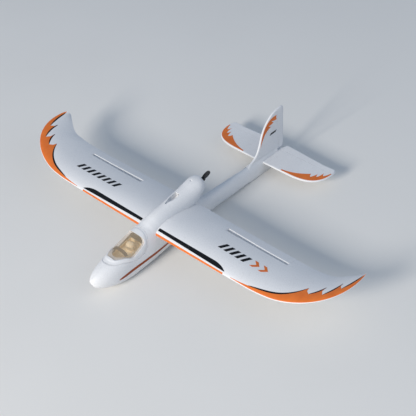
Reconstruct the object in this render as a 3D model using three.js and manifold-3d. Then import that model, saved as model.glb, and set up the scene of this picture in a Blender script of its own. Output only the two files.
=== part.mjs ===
// RC sailplane: an 800 mm foam motor glider with a pusher propeller in a pod above the wing.
// Millimetres. +X is the left wing, +Y runs from the nose to the tail, +Z is up, and z = 0 is the
// ground that the belly and the tail rest on. A "station" is a distance behind the nose tip.
import * as THREE from "three";
import { mergeVertices } from "three/addons/utils/BufferGeometryUtils.js";
import Module from "manifold-3d";

const wasm = await Module();
wasm.setup();

// ---------------------------------------------------------------- driving dimensions
const SPAN = 800;
const LENGTH = 542;
const GAP = 0.3; // running gap between neighbouring pieces
const FAR = 100; // reach of a cutting shape that only has to pass right through a piece

const WING = {
  rootX: 16, // inner end of each panel, inside the fuselage saddle
  saddleX: 30, // the rib is the same from the inner end to here, so the panel slides out of the saddle
  leadingY: 146.5,
  leadingSweep: 0.0187, // how far the leading edge falls back per millimetre of span
  trailingY: 266,
  sweptX: 230, // the outline runs straight to here, then curves back to the tip
  tipX: SPAN / 2,
  tipY: 297,
  rootThickness: 0.165, // of the chord
  midThickness: 0.115,
  tipThickness: 0.085,
  camber: 0.035,
  trailingEdge: 1.2,
};

const AILERON = {
  innerX: 115,
  outerX: 262,
  hingeY: 243.5,
  hingeZ: 55.2,
  frontLean: 0.47, // tangents of the slopes of the hinge groove's two walls
  rearLean: 0.4,
  relief: 2, // how far each wall backs away from the other below the hinge line
};

const TAIL = {
  stabZ: 29.9, // middle of the stabilizer at its leading edge
  stabY: 464,
  droop: 0.05, // fall per millimetre towards the trailing edge
  halfSpan: 140.5,
  plate: 4.4, // thickness of the moulded tail surfaces
  edge: 1.7, // rounding of their edges
  elevatorY: 521.5, // hinge lines
  elevatorZ: 29,
  rudderY: 518.5,
  rudderX: 2,
  hingeLean: 0.55, // tangent of the slope cut behind each hinge line
  finBottomZ: 32.4,
  finTopZ: 131.3,
};

const POD = { axisZ: 89.5, bore: 13, boreY: 262, rearY: 290 };
const MOTOR = { bell: 11, wall: 1.4, frontY: 268, rearY: 284, shaft: 1, shaftFront: 266, shaftEnd: 305 };
const PROPELLER = { radius: 38, hub: 4.5, hubY: 295, hubLength: 7, restAngle: 35, tipPitch: 25 };
const HATCH = { shell: 4, glazing: 1.2, bowY: 73, bowWidth: 6 };
const COCKPIT = {
  inset: 6.5, // from the body's outer surface
  frontY: 52,
  rearY: 120,
  floorZ: 50,
  wall: 1.2,
  seatY: 100,
  seatRadius: 8,
  seatZ: 66,
};
const MAGNET = { x: 23.2, y: 95, seamZ: 44.4, radius: 1.25, height: 2 };
const SPAR = { y: 188, z: 66, radius: 2, reach: 150 };
const SERVO = {
  width: 8.5,
  ahead: 5, // case in front of the output shaft, and behind it
  behind: 15,
  height: 17,
  ear: 4, // reach of the screw ears past the case
  boss: 2.4, // height of the round boss, and of the shaft above it
  spline: 1.4,
  shaft: 1.4, // radius
};
const ROD = { radius: 0.5, channel: 1.9, side: 1.5, overrun: 2 };
const HORN = 1.2; // thickness of horns and servo arms
const LINK_HOLE = 0.6; // radius of the rod's hole in them

// Each link: where its rod starts and ends, and where its servo's shaft stands.
const ELEVATOR_LINK = { x: 1.5, frontY: 196, frontZ: 33.4, rearY: TAIL.elevatorY, rearZ: 19, armX: 8.5 };
const RUDDER_LINK = { x: -5, frontY: 160, frontZ: 33.4, rearY: TAIL.rudderY, rearZ: 38, armX: 2 };
const AILERON_LINK = {
  x: 187, frontY: 190, frontZ: 50.5, rearY: AILERON.hingeY, rearZ: 50.5, shaftZ: 62,
};
const SERVO_TOP = RUDDER_LINK.frontZ - 4.9; // leaves the rods clear above the arms
const HATCH_MAGNET_Z = MAGNET.seamZ + 0.3; // undersides of the two magnets of each pair
const CABIN_MAGNET_Z = MAGNET.seamZ - 0.6 - MAGNET.height;

const BATTERY = { low: [-15, 45, 19], high: [15, 101, 33] };
const STRAP = { frontY: 62, width: 12, thickness: 1 };
const CONTROLLER = { low: [-14, 105, 15], high: [2, 132, 20] };
const RECEIVER = { low: [4.5, 105, 15.5], high: [16.5, 128, 23.5] };
const LEAD = { path: [[-8, 101.9, 27], [-9, 106, 31], [-8, 111, 29], [-7, 114, 21.7]], radius: 1.2 };

// ---------------------------------------------------------------- solids
/** Turns a closed geometry into a solid for joining and cutting. */
function toSolid(geometry) {
  const bare = geometry.clone();
  bare.deleteAttribute("normal");
  bare.deleteAttribute("uv");
  const merged = mergeVertices(bare, 1e-4);
  const mesh = new wasm.Mesh({
    numProp: 3,
    vertProperties: new Float32Array(merged.attributes.position.array),
    triVerts: new Uint32Array(merged.index.array),
  });
  return new wasm.Manifold(mesh);
}

/** Turns a solid back into a geometry. */
function toGeometry(solid) {
  const mesh = solid.getMesh();
  const geometry = new THREE.BufferGeometry();
  geometry.setAttribute("position", new THREE.BufferAttribute(new Float32Array(mesh.vertProperties), 3));
  geometry.setIndex(new THREE.BufferAttribute(new Uint32Array(mesh.triVerts), 1));
  geometry.computeVertexNormals();
  return geometry;
}

/** Skins a row of rings (equal counts of points) and closes both ends with a fan. */
function loft(rings) {
  const count = rings[0].length;
  const points = rings.flat();
  const faces = [];
  for (let r = 0; r + 1 < rings.length; r++) {
    for (let i = 0; i < count; i++) {
      const a = r * count + i;
      const b = r * count + ((i + 1) % count);
      faces.push(a, b, a + count, b, b + count, a + count);
    }
  }
  const lastRing = (rings.length - 1) * count;
  for (const [ring, first] of [[rings[0], 0], [rings.at(-1), lastRing]]) {
    const middle = ring.reduce((sum, p) => sum.add(p), new THREE.Vector3()).divideScalar(count);
    const hub = points.push(middle) - 1;
    for (let i = 0; i < count; i++) {
      const here = first + i;
      const next = first + ((i + 1) % count);
      faces.push(hub, ...(first ? [here, next] : [next, here]));
    }
  }
  const geometry = new THREE.BufferGeometry().setFromPoints(points);
  geometry.setIndex(faces);
  const solid = toSolid(geometry);
  if (solid.volume() > 0) return solid;
  geometry.setIndex(faces.reverse());
  return toSolid(geometry);
}

/** A box between two corners. */
function block(low, high) {
  const size = high.map((v, i) => v - low[i]);
  const middle = low.map((v, i) => v + size[i] / 2);
  return toSolid(new THREE.BoxGeometry(...size).translate(...middle));
}

/** A straight round bar from one point to another. */
function bar(from, to, radius, sides = 12) {
  const start = new THREE.Vector3(...from);
  const along = new THREE.Vector3(...to).sub(start);
  const up = new THREE.Vector3(0, 1, 0);
  const geometry = new THREE.CylinderGeometry(radius, radius, along.length(), sides);
  geometry.translate(0, along.length() / 2, 0);
  geometry.applyQuaternion(new THREE.Quaternion().setFromUnitVectors(up, along.normalize()));
  return toSolid(geometry.translate(...start));
}

/** A tube of one radius along a smooth curve through points. */
function cable(points, radius) {
  const path = new THREE.CatmullRomCurve3(points.map((p) => new THREE.Vector3(...p)));
  const section = new THREE.Shape().absarc(0, 0, radius, 0, 2 * Math.PI);
  const steps = Math.ceil(path.getLength() / (5 * radius));
  return new THREE.ExtrudeGeometry(section, { steps, curveSegments: 4, extrudePath: path });
}

/** Moves a geometry drawn in (y, z) with its depth along X from the plane it was extruded in. */
const standUp = (geometry) => geometry.applyMatrix4(
  new THREE.Matrix4().makeBasis(
    new THREE.Vector3(0, 1, 0), new THREE.Vector3(0, 0, 1), new THREE.Vector3(1, 0, 0)),
);

/** An outline in (y, z), solid along X from lowX to highX. */
function sidePrism(outline, lowX, highX) {
  const options = { depth: highX - lowX, bevelEnabled: false, curveSegments: 8 };
  return toSolid(standUp(new THREE.ExtrudeGeometry(outline, options)).translate(lowX, 0, 0));
}

/** An outline in (x, y), solid along Z from lowZ to highZ. */
function planPrism(outline, lowZ, highZ) {
  const options = { depth: highZ - lowZ, bevelEnabled: false, curveSegments: 6 };
  return toSolid(new THREE.ExtrudeGeometry(outline, options).translate(0, 0, lowZ));
}

/** A closed outline with straight sides. */
const polygon = (...corners) => new THREE.Shape(corners.map((c) => new THREE.Vector2(...c)));

/** A plate with rounded edges and its middle plane at depth 0, swollen by grow on every side. */
function mouldedPlate(outline, grow) {
  const depth = TAIL.plate - 2 * TAIL.edge;
  const geometry = new THREE.ExtrudeGeometry(outline, {
    depth,
    bevelThickness: TAIL.edge + grow,
    bevelSize: TAIL.edge + grow,
    bevelOffset: -TAIL.edge,
    bevelSegments: 2,
    curveSegments: 7,
  });
  return geometry.translate(0, 0, -depth / 2);
}

/** A profile of [radius, y] corners turned about the line along Y at height z. */
function turned(profile, z, sides = 24) {
  const points = profile.map(([r, y]) => new THREE.Vector2(r, y));
  const geometry = new THREE.LatheGeometry([...points, points[0]], sides);
  return toSolid(geometry.translate(0, 0, z));
}

const mirrorX = (solid) => solid.mirror([1, 0, 0]);
const mix = THREE.MathUtils.lerp;

// ---------------------------------------------------------------- fuselage
// Each row: station, bottom z, top z, half width, roundness (2 is an ellipse, more is squarer).
const BODY_STATIONS = [
  [0, 35, 43, 4, 2],
  [4, 26, 46.5, 9, 2],
  [12, 18.5, 51, 14.5, 2.1],
  [24, 12.5, 55.5, 19.3, 2.2],
  [40, 6.5, 60, 23, 2.35],
  [60, 1.5, 65, 25, 2.5],
  [85, -1.2, 71, 25.5, 2.6],
  [112, -1.2, 77, 26.5, 2.5],
  [138, -1.2, 81.5, 27, 2.3],
  [165, -1.2, 85, 26, 2.1],
  [195, -0.8, 82, 23.5, 2],
  [230, 0.8, 69, 19.5, 2],
  [262, 3, 57, 16, 2],
  [290, 4.6, 49.5, 13.2, 2.1],
  [318, 5, 46.5, 11.2, 2.2],
  [380, 3.6, 42.2, 10, 2.2],
  [430, 2.2, 38.6, 8.8, 2.2],
  [475, 0, 36.4, 6.8, 2.2],
  [497, -0.8, 35.6, 5.8, 2.2],
  [505, 3.5, 35.2, 5.4, 2.2],
  [511, 13, 34.8, 5, 2.2],
  [515, 24, 34.4, 4.2, 2.2],
];

const POD_STATIONS = [
  [146, 56, 78, 8, 2],
  [165, 50, 88, 13, 2],
  [195, 46, 94.5, 16.2, 2.1],
  [225, 46, 98.5, 18, 2.2],
  [250, 50, 102, 19.2, 2.2],
  [264, 56, 104.6, 19.6, 2.2],
  [274, 63, 105.8, 19.6, 2.2],
  [281, 68.5, 105.6, 18.8, 2.2],
  [287, 72, 104.8, 17.2, 2.1],
  [POD.rearY, 73.8, 104.2, 15.6, 2],
];

const CABIN_STATIONS = [
  [26, 22, 46, 9, 2],
  [40, 11, 54, 17.5, 2.3],
  [60, 6.5, 60, 20, 2.6],
  [112, 5, 72, 21.5, 2.6],
  [134, 5, 72, 21, 2.5],
  [150, 5, 56, 18, 2.6],
  [180, 6, 50, 14.5, 2.8],
  [222, 8, 46, 13, 2.8],
];

/** One smooth value between the rows of a station table. */
function smoothValue(rows, column, station) {
  const last = rows.length - 1;
  let k = 0;
  while (k < last - 1 && rows[k + 1][0] < station) k++;
  const slope = (i) => {
    const before = rows[Math.max(i - 1, 0)];
    const after = rows[Math.min(i + 1, last)];
    return (after[column] - before[column]) / (after[0] - before[0]);
  };
  const width = rows[k + 1][0] - rows[k][0];
  const t = (station - rows[k][0]) / width;
  return (2 * t ** 3 - 3 * t ** 2 + 1) * rows[k][column]
    + (t ** 3 - 2 * t ** 2 + t) * slope(k) * width
    + (3 * t ** 2 - 2 * t ** 3) * rows[k + 1][column]
    + (t ** 3 - t ** 2) * slope(k + 1) * width;
}

/** A superellipse across the body at one station, inset from the outer surface. */
function bodyRing(rows, station, inset, sides) {
  const [bottom, top, halfWidth, roundness] = [1, 2, 3, 4].map((c) => smoothValue(rows, c, station));
  const height = Math.max((top - bottom) / 2 - inset, 0.5);
  const width = Math.max(halfWidth - inset, 0.5);
  const bulge = (v) => Math.sign(v) * Math.abs(v) ** (2 / roundness);
  return Array.from({ length: sides }, (_, i) => {
    const angle = ((i + 0.5) / sides) * 2 * Math.PI;
    const z = (bottom + top) / 2 + bulge(Math.cos(angle)) * height;
    return new THREE.Vector3(bulge(Math.sin(angle)) * width, station, z);
  });
}

/** The solid skinned over a station table. */
function bodySolid(rows, inset = 0, sides = 28) {
  return loft(rows.map(([station]) => bodyRing(rows, station, inset, sides)));
}

/** Side outline of the lift-off hatch: front seam, low along the side, up behind the window. */
function hatchOutline(grow = 0) {
  const outline = new THREE.Shape();
  outline.moveTo(38 - grow, FAR);
  outline.lineTo(38 - grow, 59 - grow);
  outline.bezierCurveTo(50, 54 - grow, 66, 47.5 - grow, MAGNET.y, MAGNET.seamZ - grow);
  outline.bezierCurveTo(115 + grow, MAGNET.seamZ - grow, 134 + grow, 58, 137 + grow, FAR);
  return outline;
}

/** Side outline of the window inside the hatch. */
function windowOutline(grow = 0) {
  const outline = new THREE.Shape();
  outline.moveTo(54 - grow, FAR);
  outline.lineTo(54 - grow, 63.5 - grow);
  outline.bezierCurveTo(62, 58 - grow, 72, 55 - grow, 84, 55 - grow);
  outline.bezierCurveTo(103 + grow, 55 - grow, 118 + grow, 62, 117 + grow, 73);
  outline.bezierCurveTo(116.5 + grow, 78, 113 + grow, 84, 110 + grow, FAR);
  return outline;
}

/** The ramp of the cooling inlet in the crown ahead of the pod. */
function inletSolid() {
  const halfWidth = 4.6;
  const ramp = polygon([194, 99], [194, 94.4], [229, 88.5], [233, 92.5], [234, 104]);
  return sidePrism(ramp, -halfWidth, halfWidth);
}

/** The holes of the two tail pushrods, open at both ends. */
function rodChannels() {
  return [ELEVATOR_LINK, RUDDER_LINK].map(({ x, frontY, frontZ, rearY, rearZ }) =>
    bar([x, frontY, frontZ], [x, rearY, rearZ], ROD.channel, 8));
}

/** All the foam between nose and tail, before it is split into its two glued halves. */
function fuselageSolid() {
  const saddle = wingSolid([WING.rootX - GAP, WING.saddleX, 60], GAP);
  const bay = bar([0, POD.boreY, POD.axisZ], [0, POD.rearY + FAR, POD.axisZ], POD.bore, 24);
  const leadDuct = bar([0, POD.boreY + 2, POD.axisZ], [0, 205, 40], 5, 10);
  const airDuct = bar([0, 226, 92], [0, 266, 86], 3.4, 10);
  const sparHole = bar([-FAR, SPAR.y, SPAR.z], [FAR, SPAR.y, SPAR.z], SPAR.radius + GAP);
  const cuts = [
    block([-FAR, 0, -FAR], [FAR, LENGTH, 0]),
    bodySolid(CABIN_STATIONS, 0, 20),
    sidePrism(hatchOutline(GAP), -FAR, FAR),
    saddle,
    mirrorX(saddle),
    inletSolid(),
    bay,
    leadDuct,
    airDuct,
    sparHole,
    stabilizerPlate(GAP),
    finPlate(GAP),
    ...rodChannels(),
    ...[ELEVATOR_LINK, RUDDER_LINK].map(servoPocket),
    ...[1, -1].map((side) => magnetSolid(side, CABIN_MAGNET_Z - GAP, MAGNET.seamZ + 1, GAP)),
  ];
  const whole = bodySolid(BODY_STATIONS).add(bodySolid(POD_STATIONS, 0, 24));
  return cuts.reduce((foam, cut) => foam.subtract(cut), whole);
}

/** The half of the fuselage on one side of the glue line: 1 is left, -1 is right. */
function fuselageHalf(foam, side) {
  const [lowX, highX] = side > 0 ? [GAP / 2, FAR] : [-FAR, -GAP / 2];
  return foam.intersect(block([lowX, -FAR, -FAR], [highX, LENGTH + FAR, 2 * FAR]));
}

/** A round magnet in the cabin rim, or a pocket for one, on one side between two heights. */
function magnetSolid(side, lowZ, highZ, grow = 0) {
  const { x, y, radius } = MAGNET;
  return bar([side * x, y, lowZ], [side * x, y, highZ], radius + grow, 12);
}

// ---------------------------------------------------------------- hatch
function hatchSolid() {
  const shell = bodySolid(BODY_STATIONS).subtract(bodySolid(BODY_STATIONS, HATCH.shell));
  const frame = shell.intersect(sidePrism(hatchOutline(), -FAR, FAR));
  const pocketTop = HATCH_MAGNET_Z + MAGNET.height + GAP;
  const pockets = [1, -1].map((side) => magnetSolid(side, MAGNET.seamZ - 1, pocketTop, GAP));
  const cuts = [sidePrism(windowOutline(GAP), -FAR, FAR), ...pockets];
  return cuts.reduce((foam, cut) => foam.subtract(cut), frame);
}

function windowSolid() {
  const skin = bodySolid(BODY_STATIONS).subtract(bodySolid(BODY_STATIONS, HATCH.glazing));
  return skin.intersect(sidePrism(windowOutline(), -FAR, FAR));
}

/** The dark bow that crosses under the glazing. */
function windowBowSolid() {
  const outer = HATCH.glazing + GAP;
  const skin = bodySolid(BODY_STATIONS, outer).subtract(bodySolid(BODY_STATIONS, outer + 1.2));
  const strip = block([-FAR, HATCH.bowY, 60], [FAR, HATCH.bowY + HATCH.bowWidth, FAR]);
  return skin.intersect(strip);
}

/** The moulded cockpit under the glazing: a floor, low walls, a rounded seat back and a lip. */
function cockpitTubSolid() {
  const { inset, frontY, rearY, floorZ, wall, seatY, seatRadius, seatZ } = COCKPIT;
  const room = bodySolid(BODY_STATIONS, inset);
  const hollow = bodySolid(BODY_STATIONS, inset + wall);
  const region = block([-FAR, frontY, floorZ], [FAR, rearY, FAR]);
  const inside = block([-FAR, frontY + wall, floorZ + wall], [FAR, rearY - wall, FAR]);
  const shell = room.intersect(region).subtract(hollow.intersect(inside));
  const opened = shell.subtract(sidePrism(windowOutline(-1.5), -FAR, FAR).intersect(inside));
  const seatBack = bar([0, seatY, floorZ], [0, seatY, seatZ], seatRadius, 24);
  return opened.add(seatBack.intersect(room));
}

// ---------------------------------------------------------------- wing
/** Height above the flat wing that the upturned tip has reached at x. */
const tipRise = (x) => 20 * (Math.max(x - 292, 0) / 100) ** 1.5;

const leadingEdgeY = (x) => WING.leadingY + WING.leadingSweep * Math.max(x - WING.saddleX, 0);

/** Plan of the leading edge from where it starts to curve back, round the tip to its rear point. */
function leadingTip() {
  const { sweptX, tipX, tipY } = WING;
  const path = new THREE.Path();
  path.moveTo(sweptX, leadingEdgeY(sweptX));
  path.bezierCurveTo(tipX - 80, 150, tipX + 1, 184, tipX, 266);
  path.quadraticCurveTo(tipX, tipY - 8, tipX - 7, tipY);
  return path;
}

/** Plan of the trailing edge along the same stretch. */
function trailingTip() {
  const { sweptX, trailingY, tipX, tipY } = WING;
  const path = new THREE.Path();
  path.moveTo(sweptX, trailingY);
  path.lineTo(tipX - 65, trailingY + 1);
  path.bezierCurveTo(tipX - 48, trailingY + 1, tipX - 32, tipY - 16, tipX - 7.5, tipY + 0.5);
  return path;
}

/** Half thickness and camber of the aerofoil at a fraction of the chord, both per chord. */
function aerofoil(f, thickness) {
  const series = 0.2969 * Math.sqrt(f) - 0.126 * f - 0.3516 * f ** 2 + 0.2843 * f ** 3 - 0.1036 * f ** 4;
  const spread = 5 * thickness * series;
  const peak = 0.4;
  const rise = f < peak ? (2 * peak * f - f ** 2) / peak ** 2
    : (1 - 2 * peak + 2 * peak * f - f ** 2) / (1 - peak) ** 2;
  return [spread, WING.camber * rise];
}

/** One rib between a point on the leading edge and one on the trailing edge. */
function wingRib(front, rear, grow) {
  const samples = 10;
  const out = Math.max(front.x, WING.saddleX) / WING.tipX;
  const thickness = out < 0.5 ? mix(WING.rootThickness, WING.midThickness, out / 0.5)
    : mix(WING.midThickness, WING.tipThickness, (out - 0.5) / 0.5);
  const settle = Math.min(out / 0.5, 1);
  const [frontZ, rearZ] = [mix(65.5, 62.2, settle), mix(58.2, 54.6, settle)];
  const chord = Math.max(front.distanceTo(rear), 3);
  const step = Math.PI / (samples - 1);
  const fractions = Array.from({ length: samples }, (_, i) => (1 + Math.cos(step * i)) / 2);
  const upper = fractions.map((f) => [f, 1]);
  const lower = fractions.slice(0, -1).reverse().map((f) => [f, -1]);
  return [...upper, ...lower].map(([f, side]) => {
    const [spread, bend] = aerofoil(f, thickness);
    const plan = front.clone().lerp(rear, f + (grow * (2 * f - 1)) / chord);
    const half = spread * chord + (WING.trailingEdge / 2) * f + grow;
    const middle = mix(frontZ, rearZ, f) + bend * chord + tipRise(plan.x);
    return new THREE.Vector3(plan.x, plan.y, middle + side * half);
  });
}

/** A panel skinned over straight ribs at the given x and, when tipRibs is more than 0, the tip. */
function wingSolid(straight, grow = 0, tipRibs = 0) {
  const ribs = straight.map((x) =>
    wingRib(new THREE.Vector2(x, leadingEdgeY(x)), new THREE.Vector2(x, WING.trailingY), grow));
  const [front, rear] = [leadingTip(), trailingTip()];
  const lastTip = 0.97; // the tip's last rib stands just short of the point where the edges meet
  for (let i = 1; i <= tipRibs; i++) {
    const u = (i / tipRibs) * lastTip;
    ribs.push(wingRib(front.getPointAt(u), rear.getPointAt(u), grow));
  }
  return loft(ribs);
}

const STRAIGHT_RIBS = [WING.rootX, WING.saddleX, 60, AILERON.innerX, 165, WING.sweptX];
const leftPanel = wingSolid(STRAIGHT_RIBS, 0, 11);

/** Side outline behind one wall of the aileron's hinge groove: lean is the tangent of its slope. */
function behindHinge(lean, offset) {
  const { hingeY, hingeZ } = AILERON;
  const face = hingeY + offset;
  return polygon(
    [face + Math.sign(offset) * AILERON.relief, hingeZ - 5],
    [face, hingeZ],
    [face + lean * FAR, hingeZ + FAR],
    [hingeY + 2 * FAR, hingeZ + FAR],
    [hingeY + 2 * FAR, hingeZ - 5],
  );
}

function wingPanelSolid() {
  const { innerX, outerX } = AILERON;
  const { x, frontY, shaftZ } = AILERON_LINK;
  const cuts = [
    sidePrism(behindHinge(-AILERON.frontLean, -GAP / 2), innerX, outerX),
    bar([0, SPAR.y, SPAR.z], [SPAR.reach + 3, SPAR.y, SPAR.z], SPAR.radius + GAP),
    aileronServoPocket(),
    block([x - 3, frontY - 4.5, 40], [x + 3, frontY + 4.5, shaftZ + 4]),
  ];
  return cuts.reduce((foam, cut) => foam.subtract(cut), leftPanel);
}

function aileronSolid() {
  const { innerX, outerX } = AILERON;
  const region = sidePrism(behindHinge(AILERON.rearLean, GAP / 2), innerX + GAP, outerX - GAP);
  return leftPanel.intersect(region);
}

// ---------------------------------------------------------------- tail
/** The whole horizontal tail as one moulded plate through the boom. */
function stabilizerPlate(grow = 0) {
  const { halfSpan, stabY, stabZ, droop } = TAIL;
  const outline = new THREE.Shape();
  outline.moveTo(0, stabY);
  outline.lineTo(78, stabY + 1);
  outline.bezierCurveTo(120, stabY + 3, halfSpan, stabY + 18, halfSpan, 523);
  outline.quadraticCurveTo(halfSpan, 533, 134, 538);
  outline.lineTo(108, 536.5);
  outline.lineTo(20, LENGTH + 0.06);
  outline.lineTo(-20, LENGTH + 0.06);
  outline.lineTo(-108, 536.5);
  outline.lineTo(-134, 538);
  outline.quadraticCurveTo(-halfSpan, 533, -halfSpan, 523);
  outline.bezierCurveTo(-halfSpan, stabY + 18, -120, stabY + 3, -78, stabY + 1);
  const geometry = mouldedPlate(outline, grow).translate(0, -stabY, 0);
  return toSolid(geometry.rotateX(-Math.atan(droop)).translate(0, stabY, stabZ));
}

/** Side outline behind the elevator hinge, whose groove opens downwards. */
function behindElevator(lean, offset) {
  const { elevatorY, elevatorZ } = TAIL;
  const face = elevatorY + offset;
  return polygon(
    [face, elevatorZ + 5],
    [face, elevatorZ],
    [face + lean * 10, elevatorZ - 10],
    [LENGTH + 10, elevatorZ - 10],
    [LENGTH + 10, elevatorZ + 5],
  );
}

function stabilizerSolid() {
  return stabilizerPlate().subtract(sidePrism(behindElevator(0, -GAP / 2), -2 * FAR, 2 * FAR));
}

/** Both elevator halves and the strip that joins them, notched below the rudder. */
function elevatorSolid() {
  const rear = sidePrism(behindElevator(TAIL.hingeLean, GAP / 2), -2 * FAR, 2 * FAR);
  const notch = polygon([-4.2, 527], [4.2, 527], [7, LENGTH + 5], [-7, LENGTH + 5]);
  return stabilizerPlate().intersect(rear).subtract(planPrism(notch, 0, FAR));
}

/** The fin and rudder as one moulded plate, with a concave dorsal sweep. */
function finPlate(grow = 0) {
  const { finBottomZ, finTopZ } = TAIL;
  const outline = new THREE.Shape();
  outline.moveTo(420, finBottomZ);
  outline.lineTo(430, 42);
  outline.bezierCurveTo(446, 46, 455.5, 56, 461, 70);
  outline.bezierCurveTo(469, 88, 472, 106, 499, 124);
  outline.bezierCurveTo(508, 129.5, 521, finTopZ, 530, finTopZ);
  outline.quadraticCurveTo(539.5, finTopZ, 539, 121);
  outline.lineTo(535, 64);
  outline.lineTo(534, 41);
  outline.quadraticCurveTo(533, 35, 528, finBottomZ);
  return toSolid(standUp(mouldedPlate(outline, grow)));
}

/** Plan outline behind the rudder hinge, whose groove opens to the right. */
function behindRudder(lean, offset) {
  const { rudderX, rudderY } = TAIL;
  const face = rudderY + offset;
  return polygon(
    [rudderX + 10, face],
    [rudderX + 10, LENGTH + 20],
    [rudderX - 14, LENGTH + 20],
    [rudderX - 14, face + lean * 14],
    [rudderX, face],
  );
}

const finSolid = () => finPlate().subtract(planPrism(behindRudder(0, -GAP / 2), 0, 2 * FAR));
const rudderSolid = () =>
  finPlate().intersect(planPrism(behindRudder(TAIL.hingeLean, GAP / 2), 0, 2 * FAR));

// ---------------------------------------------------------------- power
function motorMountSolid() {
  const y = POD.boreY + GAP;
  return turned([[3, y], [12.4, y], [12.4, y + 2], [3, y + 2]], POD.axisZ);
}

function statorSolid() {
  const y = POD.boreY + 2 + 2 * GAP;
  return turned([[1.3, y], [8, y], [8, y + 2.6], [9, y + 3.4], [9, y + 14], [1.3, y + 14]], POD.axisZ);
}

/** The turning bell of the motor with its shaft. */
function bellSolid() {
  const { bell, wall, frontY: front, rearY: rear, shaft, shaftFront, shaftEnd } = MOTOR;
  const inside = rear - 2.2;
  return turned([
    [0, shaftFront], [shaft, shaftFront], [shaft, inside], [bell - wall, inside], [bell - wall, front],
    [bell, front], [bell, rear - 1.5], [bell - 2, rear], [2.4, rear], [2.4, rear + 4],
    [shaft, rear + 4], [shaft, shaftEnd], [0, shaftEnd],
  ], POD.axisZ);
}

/** One blade section: a thin lens set across the blade at its pitch angle. */
function bladeRing(radius) {
  const { radius: tip } = PROPELLER;
  const share = radius / tip;
  const chord = share > 0.9 ? mix(7.5, 3, (share - 0.9) / 0.1) : mix(6.5, 9.5, Math.sin(Math.PI * share));
  const pitch = THREE.MathUtils.degToRad(mix(50, PROPELLER.tipPitch, Math.sqrt(share)));
  const thickness = mix(2.2, 0.9, share);
  return Array.from({ length: 10 }, (_, i) => {
    const angle = (i / 10) * 2 * Math.PI;
    const across = (chord / 2) * Math.cos(angle);
    const through = (thickness / 2) * Math.sin(angle);
    return new THREE.Vector3(
      across * Math.cos(pitch) - through * Math.sin(pitch),
      across * Math.sin(pitch) + through * Math.cos(pitch),
      radius,
    );
  });
}

function propellerSolid() {
  const { hub, hubY, hubLength, radius, restAngle } = PROPELLER;
  const radii = [2, 7, 13, 20, 27, 33, 36.5, radius];
  const blade = loft(radii.map(bladeRing));
  const blades = blade.add(blade.rotate([0, 180, 0])).rotate([0, restAngle, 0]);
  const placed = blades.translate([0, hubY + hubLength / 2, POD.axisZ]);
  const boss = turned([[0, hubY], [hub, hubY], [hub, hubY + hubLength], [0, hubY + hubLength]], POD.axisZ);
  const bore = bar([0, hubY - 5, POD.axisZ], [0, MOTOR.shaftEnd + 5, POD.axisZ], MOTOR.shaft + GAP);
  return placed.add(boss).subtract(bore);
}

/** The domed nut that holds the propeller on the shaft. */
function nutSolid() {
  const y = PROPELLER.hubY + PROPELLER.hubLength + GAP;
  const boreEnd = MOTOR.shaftEnd + GAP;
  const profile = [
    [0, boreEnd], [MOTOR.shaft + GAP, boreEnd], [MOTOR.shaft + GAP, y],
    [3.2, y], [3.2, y + 2.6], [2.2, y + 4.6], [0, y + 5.4],
  ];
  return turned(profile, POD.axisZ, 12);
}

// ---------------------------------------------------------------- controls
/** A micro servo standing on its base, its shaft up through the origin at the top of its case. */
function servoSolid(grow = 0) {
  const { width, ahead, behind, height, ear, boss, spline } = SERVO;
  const half = width / 2 + grow;
  const earTop = -3.4 + grow;
  const body = block([-half, -ahead - grow, -height - grow], [half, behind + grow, grow]);
  const ears = block(
    [-half, -ahead - ear - grow, earTop - 1.4 - 2 * grow],
    [half, behind + ear + grow, earTop],
  );
  const shaft = bar([0, 0, -1], [0, 0, boss + grow], 3.8 + grow, 16);
  const stub = bar([0, 0, 0], [0, 0, boss + spline], SERVO.shaft + grow, 10);
  return body.add(ears).add(shaft).add(stub);
}

/** A servo arm on the shaft, reaching along -X by length, with its top face at the rod's side. */
function armSolid(length) {
  const bottom = SERVO.boss + 0.3;
  const outline = new THREE.Shape();
  outline.absarc(0, 0, 3, -Math.PI / 2, Math.PI / 2);
  outline.absarc(-length, 0, 1.6, Math.PI / 2, (3 * Math.PI) / 2);
  const plate = planPrism(outline, bottom, bottom + HORN);
  const shaftHole = bar([0, 0, 0], [0, 0, 10], SERVO.shaft + GAP, 10);
  const rodHole = bar([-length, 0, 0], [-length, 0, 10], LINK_HOLE, 8);
  return plate.subtract(shaftHole).subtract(rodHole);
}

const standingServo = ({ armX, frontY }) => servoSolid().translate([armX, frontY, SERVO_TOP]);
const standingArm = ({ x, armX, frontY }) => armSolid(armX - x).translate([armX, frontY, SERVO_TOP]);

function servoPocket({ armX, frontY }) {
  const half = SERVO.width / 2 + GAP;
  const reach = SERVO.ahead + SERVO.ear + GAP;
  const rear = SERVO.behind + SERVO.ear + GAP;
  return block(
    [armX - half, frontY - reach, SERVO_TOP - SERVO.height - GAP],
    [armX + half, frontY + rear, SERVO_TOP + 8],
  );
}

/** Lays a standing servo or arm down in the left wing: its shaft points to +X, its arm down. */
function layInWing(solid) {
  const { x, frontY, shaftZ } = AILERON_LINK;
  const topX = x - SERVO.boss - 0.3 - HORN / 2;
  return solid.rotate([0, 90, 0]).mirror([0, 0, 1]).translate([topX, frontY, shaftZ]);
}

const aileronServo = () => layInWing(servoSolid());
const aileronArm = () => layInWing(armSolid(-(AILERON_LINK.frontZ - AILERON_LINK.shaftZ)));

/** The pocket of the aileron servo, open at the wing's underside. */
function aileronServoPocket() {
  const box = aileronServo().boundingBox();
  return block(
    [box.min[0] - GAP, box.min[1] - GAP, 40],
    [box.max[0] + GAP, box.max[1] + GAP, box.max[2] + GAP],
  );
}

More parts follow.
